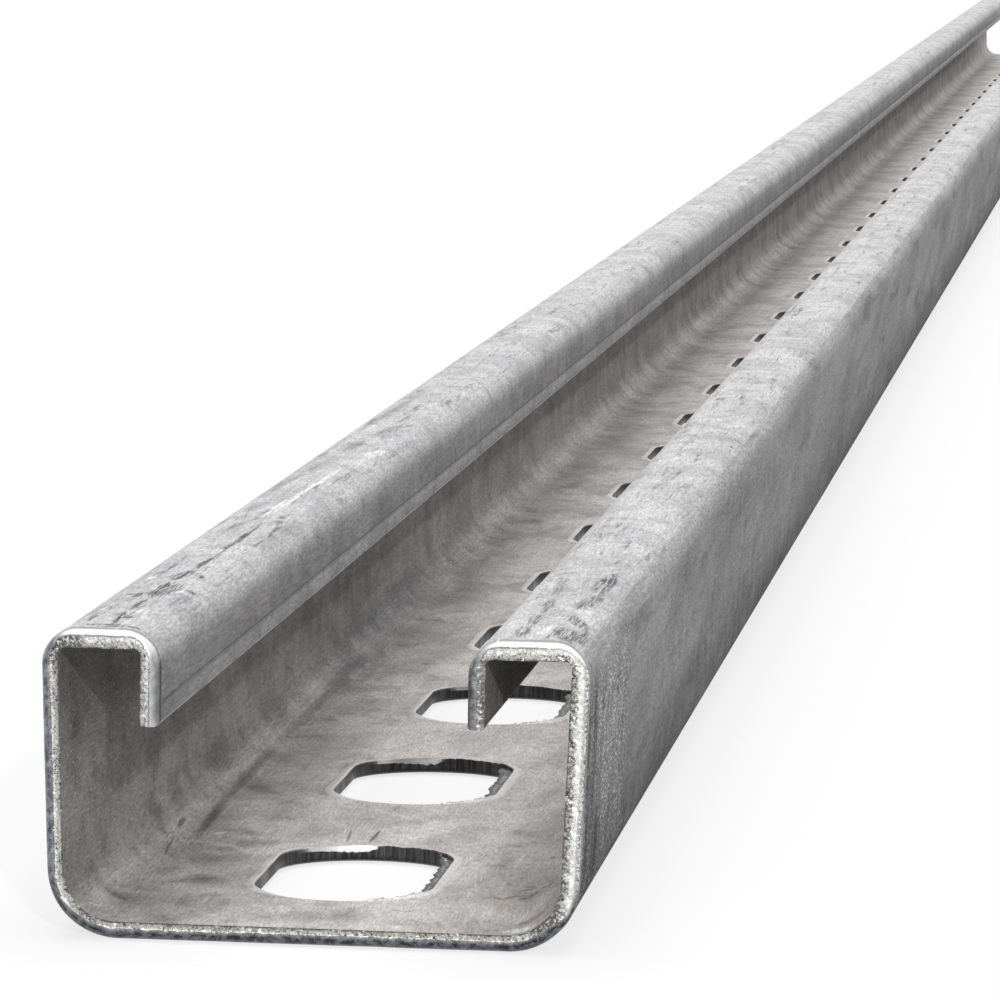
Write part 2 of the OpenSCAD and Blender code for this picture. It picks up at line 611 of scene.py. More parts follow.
def slot_cell(shell, index, near_row, side_rows, far_row):
    """The web round one slot, from its top down through the slot to its back."""
    shift = SLOT_SHIFTS.get(index, SLOT_SHIFT_SPREAD * ripple(index, 0, 0.37, seed=11))
    middle = np.array([shift, FIRST_SLOT_Y + index * PITCH])
    fine = index < FINE_SLOTS
    coarse_path = SlotPath(WEB_STEPS, ROWS_PER_SLOT, middle)
    arc_steps = WEB_STEPS * (FINE_PER_ARC_STEP if fine else 1)
    side_steps = ROWS_PER_SLOT * (FINE_PER_SIDE_STEP if fine else 1)
    path = SlotPath(arc_steps, side_steps, middle)
    flap_size = FLAP_SIZES.get(index, 1 + 0.3 * ripple(index, 0, 0.37, seed=12))
    rings = slot_rings(shell, path, middle, 20 + index, flap_size, fine)
    joins = [
        ("inner", coarse_path.ring(shell, COARSE_OFF, SHEET_T), rings[0]),
        ("outer", coarse_path.ring(shell, COARSE_OFF, 0, outside=1), rings[-1]),
    ]
    for skin, coarse, ring in joins:
        shell.bridge(web_frame(near_row, side_rows, far_row, skin), coarse, closed=True)
        if fine:
            shell.zip_rows(list(zip(coarse, fine_places())), ring)
        else:
            shell.bridge(coarse, ring, closed=True)
    for upper, lower in zip(rings, rings[1:]):
        shell.bridge(upper, lower, closed=True)


# ---- The whole channel ----

def cell_edges():
    """Where the web is divided between its slots, along Y."""
    between = [FIRST_SLOT_Y + (i - 0.5) * PITCH for i in range(1, SLOT_COUNT)]
    return [NEAR_Y + END_ROOM, *between, FAR_Y - END_ROOM]


def channel_mesh():
    columns = Columns(whole_sheet(GROOVE_DEEP))
    shell = Shell()
    edges = cell_edges()
    first = near_row = LongRow(shell, columns, edges[0], with_web=True)
    for index, (start, end) in enumerate(zip(edges, edges[1:])):
        stops = [mixed(start, end, f) for f in evenly(ROWS_PER_SLOT)]
        side_rows = [LongRow(shell, columns, y, with_web=False) for y in stops[1:-1]]
        far_row = LongRow(shell, columns, end, with_web=True)
        rows = [near_row, *side_rows, far_row]
        for a, b in zip(rows, rows[1:]):
            for ring_a, ring_b in zip(a.open_rings(), b.open_rings()):
                shell.bridge(ring_a, ring_b)
        slot_cell(shell, index, near_row, side_rows, far_row)
        near_row = far_row
    pressed_flat = whole_sheet(0)
    sheared_end(shell, Columns(pressed_flat, NEAR_STEP), first, NEAR_Y)
    sheared_end(shell, Columns(pressed_flat, FAR_STEP), near_row, FAR_Y)
    return shell.to_mesh("channel_steel")


# ---- Building node trees ----

def operator(operation):
    return lambda value, *others: value.graph.math(operation, value, *others)


class Value:
    """What a node works out. Sums with it add the nodes that they need."""

    __add__ = operator("ADD")
    __sub__ = operator("SUBTRACT")
    __mul__ = operator("MULTIPLY")
    __abs__ = operator("ABSOLUTE")

    def __init__(self, graph, socket):
        self.graph = graph
        self.socket = socket

    def __rsub__(self, other):
        return self.graph.math("SUBTRACT", other, self)

    def ramp(self, low, high, start=0, end=1):
        """From start to end, smoothly, as the value goes from low to high."""
        inputs = {0: self, 1: low, 2: high, 3: start, 4: end}
        return self.graph.result("MapRange", inputs, interpolation_type="SMOOTHSTEP")


class Graph:
    """A node tree, written as the sums that it makes."""

    def __init__(self, tree):
        self.tree = tree
        tree.nodes.clear()

    def add(self, kind, inputs=None, **settings):
        node = self.tree.nodes.new("ShaderNode" + kind)
        for name, value in settings.items():
            setattr(node, name, value)
        for name, value in (inputs or {}).items():
            if isinstance(value, Value):
                self.tree.links.new(value.socket, node.inputs[name])
            else:
                node.inputs[name].default_value = value
        return node

    def results(self, kind, outputs, inputs=None, **settings):
        """What a new node works out at some of its outputs."""
        node = self.add(kind, inputs, **settings)
        return [Value(self, node.outputs[output]) for output in outputs]

    def result(self, kind, inputs=None, output=0, **settings):
        return self.results(kind, [output], inputs, **settings)[0]

    def math(self, operation, *values, kind="Math"):
        return self.result(kind, dict(enumerate(values)), operation=operation)

    def attribute(self, name):
        return self.result("Attribute", output="Fac", attribute_name=name)

    def vector(self, x, y, z):
        return self.result("CombineXYZ", {0: x, 1: y, 2: z})

    def noise(self, vector, scale, detail=2, rough=0.5, distort=0, output=0):
        names = ("Vector", "Scale", "Detail", "Roughness", "Distortion")
        values = (vector, scale, detail, rough, distort)
        return self.result("TexNoise", dict(zip(names, values)), output)

    def placed(self, vector, along=1, up=1, shift=0, lean=0):
        """A place for noise to be read at. Under 1, along and up draw the noise out."""
        inputs = {"Vector": vector, "Scale": (1, along, up), "Rotation": (lean, 0, 0)}
        inputs["Location"] = 3 * (shift,)
        return self.result("Mapping", inputs)

    def shade(self, colour, factor):
        return self.result("VectorMath", {0: colour, "Scale": factor}, operation="SCALE")

    def mix(self, share, a, b, blend="MIX"):
        inputs = {0: share, 6: a, 7: b}
        return self.result("Mix", inputs, 2, data_type="RGBA", blend_type=blend)

    def mix_value(self, share, a, b):
        return self.result("Mix", {0: share, 2: a, 3: b}, data_type="FLOAT")

    def stroke(self, plane, mark, solid):
        """Strong along the middle of a straight mark and 0 outside it. solid is the
        share of its width that is at full strength."""
        x, y, end_x, end_y, half_width, strength = mark
        inputs = {
            "Vector": plane,
            "Location": ((x + end_x) / 2, (y + end_y) / 2, 0),
            "Rotation": (0, 0, math.atan2(end_y - y, end_x - x)),
            "Scale": (math.dist((x, y), (end_x, end_y)) / 2, half_width, 1),
        }
        local = self.result("Mapping", inputs, vector_type="TEXTURE")
        off = self.result("VectorMath", {0: local}, "Value", operation="LENGTH")
        return off.ramp(1, solid, 0, strength)


def grey(value, warmth=0):
    return (value * (1 + warmth), value, value * (1 - warmth), 1)


# ---- The steel's finish ----

WARM_LIGHT = (0.574, 0.54, 0.519, 1)
WARM_DARK = (0.404, 0.38, 0.366, 1)
COOL_LIGHT = (0.546, 0.54, 0.55, 1)
COOL_DARK = (0.424, 0.42, 0.43, 1)
SMUDGE = (0.12, 0.122, 0.13, 1)
GRIME = (0.03, 0.03, 0.035, 1)
# A cooler tint that also darkens: painted shade on the walls inside the channel
WALL_TINT_AND_SHADE = (0.5, 0.53, 0.55, 1)
PALE = grey(0.86, 0.01)
# Pale patches, used mostly as painted light
PALE_DUST_AND_PAINTED_LIGHT = grey(0.66, 0.04)
WORN = grey(0.36, 0.02)
RUST = (0.27, 0.17, 0.09, 1)
ORANGE = (0.5, 0.26, 0.09, 1)
STAIN = (0.11, 0.1, 0.09, 1)
OUTER_WALL_SHADE = 1.05

# How far the dust of the shear reaches from an end
DUST_REACH = 34.5


class SteelGraph(Graph):
    """The node tree of a finish, which knows where on the steel it is.

    body is the plain place, and skin runs across the sheet and along the channel, both
    in metres for the noise. The rest is in millimetres: x, along (from the near end),
    up, top_plane (x and along) and sheet_plane (the distance across the sheet and
    along). outside is 1 on the sheet's outer skin and 0 on the mouth's side."""

    def __init__(self, tree):
        super().__init__(tree)
        self.body = self.result("TexCoord", output="Object")
        x, y, z = self.results("SeparateXYZ", "XYZ", {0: self.body})
        across = self.attribute("across")
        self.outside = self.attribute("outside")
        self.x = x * 1000
        self.along = y * 1000 - NEAR_Y
        self.up = z * 1000
        self.skin = self.vector(across * MM, y, self.outside * 0.3)
        self.top_plane = self.vector(self.x, self.along, 0)
        self.sheet_plane = self.vector(across, self.along, 0)


def clouded_tone(g, drawn=2):
    """Zinc that has dulled unevenly: warm in the channel, cooler on its outside. The
    clouds are longer along the channel than across it by drawn."""
    place = g.placed(g.skin, 1 / drawn)
    share = g.noise(place, 130, 4, 0.55, 0.25).ramp(0.36, 0.62)
    warm = g.mix(share, WARM_DARK, WARM_LIGHT)
    cool = g.mix(share, COOL_DARK, COOL_LIGHT)
    smudges = g.noise(place, 330, 6, 0.68, 0.4).ramp(0.5, 0.72, 0, 0.5)
    return g.mix(smudges, g.mix(g.outside, warm, cool), SMUDGE)


def grain(g):
    """The speckle of the zinc, as a factor round 1. It is drawn out along the sheet."""
    place = g.placed(g.body, 0.12)
    fine = g.noise(place, 6400, 1, 0.6) - 0.5
    coarse = g.noise(place, 2300, 2, 0.6) - 0.5
    return fine * 1.3 + coarse * 0.6 + 1


def drawn_lines(g):
    """Faint lines that the rolls drew along the sheet, as a factor round 1."""
    return g.noise(g.placed(g.skin, 0.012), 1500, 3, 0.65) * 0.36 + 0.82


def specks(g, size, share, seed, drawn=1):
    """Specks a size across, drawn out along the sheet. share is how many of the
    cells hold one."""
    inputs = {"Vector": g.placed(g.body, 1 / drawn, shift=seed), "Scale": 280 / size}
    off, colour = g.results("TexVoronoi", ("Distance", "Color"), inputs)
    chosen = g.math("LESS_THAN", g.result("SeparateColor", {0: colour}), share)
    return off.ramp(0.18, 0.09) * chosen


def broken(g, mask, size=0.5, low=0.4, high=0.56):
    """A mask with ragged gaps in it, about a size across."""
    patches = g.noise(g.placed(g.body, 0.2, shift=3), 1000 / size, 3, 0.7)
    return mask * patches.ramp(low, high)


def steel_finish(name, tone_of, metallic=0.32, rough=(0.46, 0.6), gloss=0.3):
    """One finish of the steel. tone_of gives its colour."""
    material = bpy.data.materials.new(STEEL_SLOT + "_" + name)
    material.use_nodes = True
    g = SteelGraph(material.node_tree)
    dust = grain(g)
    lines = drawn_lines(g)
    relief = {"Height": lines * 0.5 + dust * 0.5, "Strength": 0.5, "Distance": 0.02 * MM}
    shader = g.result("BsdfPrincipled", {
        "Base Color": tone_of(g, dust * lines),
        "Metallic": metallic,
        "Roughness": g.noise(g.skin, 260, 1).ramp(0.3, 0.7, *rough),
        "Specular IOR Level": gloss,
        "Normal": g.result("Bump", relief),
    })
    g.add("OutputMaterial", {"Surface": shader})
    return material


# Marks near the near end. Each is a straight stroke: x and the distance from the near
# end where it starts, the same where it ends, half its width, and its strength
FLANGE_SCUFFS = [
    # the broken line along the left flange
    (-15.7, 3, -16.1, 12.6, 0.34, 1),
    (-16.1, 12, -15.8, 21, 0.41, 1),
    (-15.7, 20, -16, 33, 0.61, 1),
    (-16, 32, -15.3, 41, 0.77, 1),
    (-15.5, 39, -15.1, 53, 0.46, 1),
    (-15.2, 50, -15, 76, 0.36, 0.97),
    (-15.3, 21, -14.9, 32, 1.02, 0.97),
    # short ones beside it
    (-17, 20.5, -16.8, 24.8, 0.56, 1),
    (-17.7, 22.2, -17.4, 23.8, 0.51, 0.73),
    (-17.5, 33, -17.4, 54, 0.24, 0.85),
    (-18.2, 2.4, -17.4, 18, 0.41, 0.73),
    (-15.8, 8.3, -14.8, 8, 0.88, 1),
    (-14.6, 37.2, -13.6, 34.6, 0.41, 1),
    (-13.9, 27.2, -13.1, 26, 0.56, 0.85),
    (-12.7, 25.2, -11.9, 22.4, 0.41, 0.73),
    # thin lines behind the cut
    (-18.6, 3.4, -14.2, 3, 0.75, 0.9),
    (-17.2, 2, -12.4, 2.4, 0.55, 0.8),
    # the line along the right flange
    (14.9, 1.5, 15.05, 10.5, 0.6, 0.8),
    (15.05, 9.5, 15.2, 18, 0.7, 0.8),
    (15.2, 17, 14.95, 29, 0.6, 0.75),
    (15, 28, 14.8, 42, 0.56, 0.61),
    # the rubbed patch on its outer half
    (17.4, 10.5, 18.9, 1.5, 1.3, 0.9),
    (17.3, 18.5, 19.5, 9, 0.9, 0.85),
    (17.6, 20, 18.3, 32, 0.9, 0.85),
    (16.9, 2.2, 17.7, 8.4, 0.36, 0.97),
    (17.8, 31, 17.6, 46, 0.5, 0.95),
    (18.6, 30, 18.2, 50, 0.5, 0.95),
    (19.4, 3, 19.6, 12, 0.6, 0.85),
]
# the soft dark smudges farther along it
FLANGE_SMUDGES = [
    (-17.2, 68, -16.6, 80, 0.6, 0.85),
    (-18, 83, -17.4, 97, 1, 0.85),
    (-18.5, 98, -18.2, 124, 0.9, 0.8),
    (-17.4, 116, -16.6, 140, 1, 0.85),
    (-16.9, 138, -16.3, 158, 1.1, 0.9),
    (-15.9, 156, -15.2, 172, 1, 0.9),
    (-18.3, 150, -17.2, 225, 1, 0.7),
    (-13.4, 60, -12.6, 90, 1, 0.55),
]
# the thin black line along the left flange, and its branches
FLANGE_LINES = [
    (-15.7, 2.5, -16.1, 12.6, 0.1, 1),
    (-16.1, 12, -15.8, 21, 0.1, 1),
    (-15.8, 20, -15.9, 33, 0.1, 1),
    (-15.9, 32, -15.3, 42, 0.1, 1),
    (-15.4, 40, -15.1, 56, 0.1, 1),
    (-15.2, 54, -15, 78, 0.12, 0.8),
    (-15.9, 14, -15.1, 16.5, 0.1, 0.9),
    (-16, 23, -15, 29.5, 0.1, 0.9),
    (-15.8, 30, -14.6, 34, 0.1, 0.9),
    (-15.6, 36, -14.2, 38.5, 0.1, 0.9),
    (-17, 34, -15.7, 38, 0.1, 0.8),
]
FLANGE_SCRATCHES = [
    (15.5, 15.85, 18.5, 15.55, 0.22, 1),
    (-15.5, 80, -15.2, 117, 0.28, 0.7),
    (-18, 32.5, -17.8, 35.5, 0.35, 0.6),
    (-17.9, 11.6, -17.8, 14.2, 0.35, 0.6),
    (-15.3, 10.8, -15.1, 13.6, 0.35, 0.6),
    (-14.6, 23.6, -14.3, 27, 0.45, 0.5),
    (16.1, 4, 17, 12, 0.55, 0.5),
    (18.2, 18.6, 18.8, 22, 0.5, 0.5),
    (-15.9, 80, -15.8, 100, 0.25, 0.7),
    (-15.5, 98, -14.8, 128, 0.35, 0.6),
    (-14.2, 136, -13.5, 147, 0.8, 0.5),
    (-11.6, 142, -11, 152, 0.8, 0.5),
]
# The same inside the channel, with the distance across the sheet from the web's
# middle in place of x
MOUTH_SCRATCHES = [
    (-0.94, 49, -0.98, 41, 0.22, 0.75),
    (-3.35, 49, -2.75, 41, 0.16, 0.6),
    (14.2, 36.5, 14.6, 38, 0.16, 0.8),
    (9, 36.6, 9.2, 37.4, 0.2, 0.7),
    (4.6, 9.5, 6.9, 8.9, 0.2, 0.5),
    (-6, 5.6, -5, 9.4, 0.12, 0.4),
    # the fine line that climbs out of the left bend
    (-15.9, 29, -16.7, 40, 0.16, 0.55),
    (-16.9, 42, -17.2, 48, 0.3, 0.75),
]
# Smudges, and painted shade along the left bend
MOUTH_SMUDGES_AND_SHADE = [
    # on the left wall
    (-33.8, 0, -32.4, 16, 3, 0.6),
    (-30.9, 1, -30.2, 13, 2.6, 0.7),
    (-28.5, 1, -26.4, 9, 2.6, 0.6),
    (-22.6, 36, -26.8, 47, 2.6, 0.45),
    (-21, 36, -18.4, 46, 2.4, 0.6),
    # along the left bend: painted shade, and its dark line
    (-20.2, 56, -18.6, 90, 2.6, 0.6),
    (-23, 95, -20, 235, 6, 0.6),
    (-16.8, 108, -16, 185, 1.6, 0.65),
    # on the web, left of the slots
    (-15.8, 68, -12, 70, 6, 0.55),
    (-14.2, 44.5, -9.8, 46.8, 3.6, 0.75),
    (-13.2, 37, -11, 34.2, 1.3, 0.75),
    (-14.2, 29.5, -8.6, 33.5, 3.6, 0.6),
    (-13.9, 19.5, -8.8, 22.6, 2.8, 0.8),
    (-14, 9.5, -6.5, 13.5, 5.6, 0.9),
    (-13.5, 37.5, -7.5, 41.5, 4, 0.6),
    (-17.4, 9.4, -15.5, 11.6, 1.3, 0.55),
    (-20, 9, -19.2, 12.4, 1.3, 0.5),
    # and right of them
    (10.8, 43, 10.6, 28, 1.2, 0.55),
    (9, 60, 11.5, 80, 1.6, 0.5),
    (-9, 5.4, 8, 5, 5, 0.6),
    (4, 3.8, 9, 4.4, 1.3, 0.4),
]
# a dark line along the left bend, and painted shade in the darker band behind it
MOUTH_LINES_AND_SHADE = [
    (-14.9, 36, -16, 68, 0.75, 0.85),
    (-15.7, 52, -16.3, 100, 0.75, 0.65),
    (-16.2, 76, -16.2, 150, 0.85, 0.4),
    (-18, 4, -18.5, 90, 1.6, 0.36),
    (-18.6, 40, -18.2, 150, 2, 0.42),
    (-18.2, 90, -17.8, 280, 2.6, 0.62),
]
# pale patches: most are painted light on shaded parts of the web and wall, with a painted
# highlight along the left bend
MOUTH_PALE_AND_PAINTED_LIGHT = [
    (-17.7, 62, -17.5, 82, 0.5, 0.65),
    (-17.5, 80, -17.6, 112, 0.45, 0.55),
    (-15.2, 58, -12.8, 64, 1.6, 0.45),
    (-13.9, 49.5, -11.5, 51.5, 1.3, 0.45),
    (-20, 5, -13, 7.4, 5, 0.75),
    (9.5, 8, 15.2, 13, 7, 0.75),
    (-16.6, 36, -13.8, 39.5, 2.6, 0.5),
    (-28.8, 21, -23.6, 27, 6, 0.32),
]
# painted highlights along the bends' inner edges
MOUTH_PAINTED_HIGHLIGHTS = [
    (-16.2, 4.9, -17.8, 2.6, 0.22, 0.6),
    (-13.9, 43.6, -13.5, 45, 0.26, 0.8),
    (13.9, 1.6, 17.4, 2.1, 1.2, 1),
    (17.2, 2.1, 20, 1.6, 0.9, 0.9),
]
MOUTH_RUST = [
    (11.6, 17.6, 12.8, 16, 0.26, 0.9),
    (12.6, 16, 13.9, 18.2, 0.29, 1),
    (13.8, 16.2, 14.6, 17.6, 0.26, 0.9),
    (14.4, 17, 15, 20.2, 0.29, 1),
    (13.4, 19.5, 14.6, 22.6, 0.29, 1),
    (14.6, 22.5, 13.6, 22.9, 0.64, 0.9),
    (14.8, 21.5, 16.3, 24.8, 0.29, 1),
    (12.2, 24.4, 12.7, 22.8, 0.29, 0.8),
    (12.6, 26.1, 13.3, 25.6, 0.35, 0.8),
    (15, 3, 16.9, 9, 0.8, 0.7),
]
# Stains on the cut, with the height in place of the distance from the near end
CUT_STAINS = [
    (-20.6, 20.6, -17, 23.2, 1.5, 1),
    (12.1, 15.5, 12.2, 22.4, 1.6, 0.8),
    (16.5, 0.8, 19.2, 4, 2, 1),
    (-18.4, 2.6, -16, 0.8, 1.2, 0.6),
]


def wavy(g, plane, much, size=2):
    """A plane whose lines wander by much, in bends of a size."""
    wander = g.noise(g.placed(g.body, 0.5), 1000 / size, output="Color")
    off = g.math("SUBTRACT", wander, (0.5, 0.5, 0.5), kind="VectorMath")
    reach = (much, 3 * much, 0)
    return g.math("MULTIPLY_ADD", off, reach, plane, kind="VectorMath")


def strokes(g, plane, marks, solid=0.5):
    """The strongest of some marks at each place."""
    best = 0
    for mark in marks:
        best = g.math("MAXIMUM", best, g.stroke(plane, mark, solid))
    return best


def end_distance(g):
    """The distance from the nearer end."""
    return g.math("MINIMUM", g.along, FAR_Y - NEAR_Y - g.along)


def near_cut(g):
    """1 on the steel behind each cut, and almost 0 beyond."""
    return end_distance(g).ramp(DUST_REACH + 2, DUST_REACH - 1, 0.06, 1)


def near_dust(g, size, share, seed, strength, drawn=3):
    """Pale dust that lies thick behind a cut: specks a size across and finer grains."""
    grains = g.noise(g.placed(g.body, 1 / drawn, shift=seed), 7000, 1, 0.5)
    grains = grains.ramp(0.6, 0.72, 0, 0.5)
    dust = g.math("MAXIMUM", specks(g, size, share, seed, drawn), grains)
    return dust * (near_cut(g) * strength)


def mouth_tone(g, speckle):
    """Inside the channel: smudges, a dark line along the left bend, rust, scratches, pale dust,
    painted light and highlights, and painted shade on the left bend and the walls.
    """
    loose = wavy(g, g.sheet_plane, 2.4, 5)
    close = wavy(g, g.sheet_plane, 0.15)
    # Pale patches, most of them painted light, with a painted highlight along the left bend
    tone = g.mix(strokes(g, loose, MOUTH_PALE_AND_PAINTED_LIGHT, 0), clouded_tone(g), PALE_DUST_AND_PAINTED_LIGHT)
    # Smudges, and painted shade along the left bend
    smudges = strokes(g, loose, MOUTH_SMUDGES_AND_SHADE, 0.1)
    tone = g.mix(broken(g, smudges, 3, 0.2, 0.62), tone, SMUDGE)
    # A dark line along the left bend, and a band of painted shade beside it
    tone = g.mix(strokes(g, wavy(g, g.sheet_plane, 0.4), MOUTH_LINES_AND_SHADE, 0.2), tone, SMUDGE)
    rust = strokes(g, wavy(g, g.sheet_plane, 0.9), MOUTH_RUST)
    tone = g.mix(broken(g, rust, 0.5, 0.26, 0.42), tone, RUST)
    tone = g.mix(strokes(g, close, MOUTH_SCRATCHES), tone, GRIME)
    # Painted highlights along the bends' inner edges
    tone = g.mix(strokes(g, close, MOUTH_PAINTED_HIGHLIGHTS), tone, PALE)
    # A cooler tint with painted shade on the walls inside the channel
    tone = g.mix(g.up.ramp(2, 8, 0, 0.6), tone, WALL_TINT_AND_SHADE, blend="MULTIPLY")
    # More painted shade higher up, under the flanges
    tone = g.shade(tone, g.up.ramp(9, 16, 1, 0.84))
    tone = g.shade(tone, speckle)
    dust = near_dust(g, 0.125, 0.95, 1, 0.9)
    dust = g.math("MAXIMUM", dust, near_dust(g, 0.19, 0.35, 6, 0.85))
    tone = g.mix(dust * g.up.ramp(2, 7, 0.25, 1), tone, grey(0.75, 0.01))
    rusty = specks(g, 0.22, 0.02, 9, 5) * near_cut(g)
    return g.mix(rusty, tone, ORANGE)


def flange_tone(g, speckle):
    """The flanges and lips, which are scuffed along their tops and grooved by a roll."""
    on_top = g.up.ramp(22.5, 22.8)
    plane = wavy(g, g.top_plane, 0.6)
    rubbed = g.noise(g.placed(g.skin, 0.05), 900, 4, 0.7, 0.6).ramp(0.53, 0.68, 0, 0.75)
    tone = g.mix(broken(g, rubbed * on_top, 0.7), clouded_tone(g), GRIME)
    tone = g.mix(strokes(g, plane, FLANGE_SCRATCHES) * on_top, tone, PALE)
    scuffs = strokes(g, plane, FLANGE_SCUFFS) * on_top
    tone = g.mix(scuffs * 0.3, tone, WORN)
    tone = g.mix(scuffs * scratched(g), tone, GRIME)
    smudges = broken(g, strokes(g, plane, FLANGE_SMUDGES, 0.1), 2, 0.22, 0.58)
    tone = g.mix(smudges * 0.8, tone, SMUDGE)
    lines = strokes(g, wavy(g, g.top_plane, 0.5, 1.2), FLANGE_LINES, 0.6)
    tone = g.mix(broken(g, lines, 0.5, 0.14, 0.32) * on_top, tone, grey(0.015))
    return lip_tone(g, g.shade(tone, speckle))


def scratched(g):
    """The fine short scratches of a scuffed place, mostly along the channel."""
    return g.noise(g.placed(g.skin, 0.045), 5200, 4, 0.75, 0.5).ramp(0.455, 0.515)


def lip_tone(g, tone):
    """A dark line in the roll's line along each lip, the strip below it darker near the end,
    painted shade on the lips' faces below the flanges, and a painted highlight along each lip's
    rounded lower edge.
    """
    edges = [HEIGHT - lip_h for lip_h in (LEFT_LIP_H, RIGHT_LIP_H)]
    above = g.up - g.mix_value(g.math("GREATER_THAN", g.x, 0), *edges)
    strip = g.along.ramp(6, 22, 0.8, 1.1)
    tone = g.shade(tone, g.mix_value(above.ramp(1.9, 1.5), 1, strip))
    # Painted shade on the lip's face below the flange
    tone = g.shade(tone, g.up.ramp(20.5, 22.6, 0.84, 1))
    in_groove = abs(above - GROOVE_UP).ramp(0.3, 0.1, 0, 0.7)
    tone = g.mix(in_groove, tone, SMUDGE)
    # A painted highlight along the lip's rounded lower edge
    edge_highlight = broken(g, above.ramp(0.36, 0.22, 0, 0.8), 1.5, 0.36, 0.5)
    return g.mix(edge_highlight, tone, PALE)


def wall_tone(g, speckle):
    """The outer walls: streaked upright behind a cut, then dusty, then smooth and dull, and
    darkened towards the floor as painted shade.
    """
    tone = g.shade(clouded_tone(g, drawn=9), speckle)
    wall = g.up.ramp(WALL_TOP, 18.5) * abs(g.x).ramp(18.2, 19.8)
    from_end = end_distance(g)
    upright = g.noise(g.placed(g.body, 0.22, 0.06), 1300, 4, 0.7)
    behind_cut = upright.ramp(0.36, 0.58, 0.8, 0.2)
    dusty = upright.ramp(0.38, 0.64, 1.1, 0.7)
    past_streaks = from_end - g.up.ramp(21, 9, 7, 13)
    streaks = g.mix_value(past_streaks.ramp(-2.5, 2), behind_cut, dusty)
    grit = g.noise(g.placed(g.body, 0.16), 6500, 1, 0.5)
    streaks = streaks * grit.ramp(0.48, 0.7, 0.74, 2.1)
    slanted = g.noise(g.placed(g.placed(g.body, lean=-0.12), 0.08), 200, 2, 0.5)
    beyond = slanted.ramp(0.38, 0.66, 0.86, 0.7)
    streaks = g.mix_value(from_end.ramp(DUST_REACH - 1, DUST_REACH + 2), streaks, beyond)
    # Darker towards the floor: painted shade
    shade_near_floor = g.up.ramp(0.5, 13, 0.22, 1)
    tone = g.shade(tone, g.mix_value(wall, 1, streaks * shade_near_floor * OUTER_WALL_SHADE))
    dust = near_dust(g, 0.17, 0.55, 5, 0.85, drawn=9)
    return g.mix(dust * wall, tone, grey(0.66))


def slot_tone(g, speckle):
    """Pale rubbed rims, near-black punched walls in painted shade that darkens deeper in the
    slot, bright torn edges and grey flaps, and painted shade where a flap steps down and at its
    edge.
    """
    rim, wall, torn = (g.attribute(name) for name in ("rim", "slot_wall", "torn"))
    tone = g.shade(clouded_tone(g), speckle)
    tone = g.mix(rim.ramp(0.15, 0.55, 0, 0.5), tone, grey(0.8, 0.03))
    # The punched walls: near-black painted shade, darkest deep in the slot
    striped = g.noise(g.placed(g.body, up=0.08), 3200, 3, 0.7).ramp(0.35, 0.7)
    upper = g.mix(striped, (0.02, 0.02, 0.022, 1), (0.1, 0.1, 0.105, 1))
    lower = g.mix(striped, (0.012, 0.012, 0.015, 1), (0.06, 0.05, 0.05, 1))
    tone = g.mix(wall, tone, g.mix(g.up.ramp(0.75, 0.35), upper, lower))
    facets = g.noise(g.placed(g.body, up=0.4), 3400, 4, 0.7) - wall * 0.26
    ragged = g.mix(facets.ramp(0.2, 0.4), (0.06, 0.056, 0.053, 1), grey(0.92))
    flap = g.mix(facets.ramp(0.36, 0.58), grey(0.05), grey(0.6))
    ragged = g.mix(g.x.ramp(2, 4), ragged, flap)
    return g.mix(torn.ramp(0.25, 0.75), tone, ragged)


def cut_tone(g, speckle):
    """The sheared ends: a burnished, rolled-over edge with painted light and shade, and the torn
    steel inside it.
    """
    tone = g.mix(g.attribute("roll"), wall_tone(g, speckle), rolled_tone_and_painted_light(g))
    return g.mix(g.attribute("cut"), tone, fracture_tone(g))


def rolled_tone_and_painted_light(g):
    """The burnished edge, blotched, and painted by the way each part faces: a painted highlight
    on top, painted light on the left lip and the right wall, and painted shade on the other
    sides, the right lip and most of all below.
    """
    blotches = g.noise(g.body, 1500, 4, 0.65, 0.5)
    blotched = blotches.ramp(0.36, 0.66)
    # Painted shade on the sides, painted light on the left lip's edge, painted shade on the right
    # lip's, and the darkest painted shade below
    side = g.mix(blotched, (0.07, 0.08, 0.1, 1), (0.34, 0.36, 0.4, 1))
    lit_left_lip = g.mix(blotched, (0.38, 0.39, 0.4, 1), (0.56, 0.57, 0.58, 1))
    shaded_right_lip = g.mix(blotched, (0.12, 0.125, 0.14, 1), (0.42, 0.43, 0.45, 1))
    below = g.mix(blotches.ramp(0.42, 0.6), (0.03, 0.032, 0.04, 1), (0.19, 0.2, 0.23, 1))
    # A painted highlight along the top
    top = g.mix(blotches.ramp(0.5, 0.75, 0, 0.2), grey(0.92), grey(0.4))
    grains = g.noise(g.placed(g.body, shift=2), 5200, 3, 0.7)
    # Painted light on the right wall's edge, speckled
    right = g.mix(grains.ramp(0.42, 0.56), grey(0.16, -0.03), grey(0.86, -0.02))
    side = g.mix(g.x.ramp(17, 19) * g.up.ramp(3, 6), side, right)
    lip = g.mix(g.x.ramp(-1, 1), lit_left_lip, shaded_right_lip)
    band = g.mix(abs(g.x).ramp(17.5, 15.5), side, lip)
    band = g.mix(g.up.ramp(6, 3), band, below)
    # The painted highlight on top stops short of two corners
    bright = corner_off(g, -20.7) * corner_off(g, 11.2)
    band = g.mix(g.up.ramp(21.2, 22.4) * bright, band, top)
    # A thin dark line along the outer rim: a painted reflection, in grime's colour
    dark_reflection_line = broken(g, g.outside.ramp(0.93, 1), 0.8, 0.25, 0.45)
    return g.mix(dark_reflection_line * 0.8, band, GRIME)


def corner_off(g, x):
    """0 at a corner of the section that the shear left dull, and 1 away from it."""
    return abs(g.x - x).ramp(0.9, 2.3)


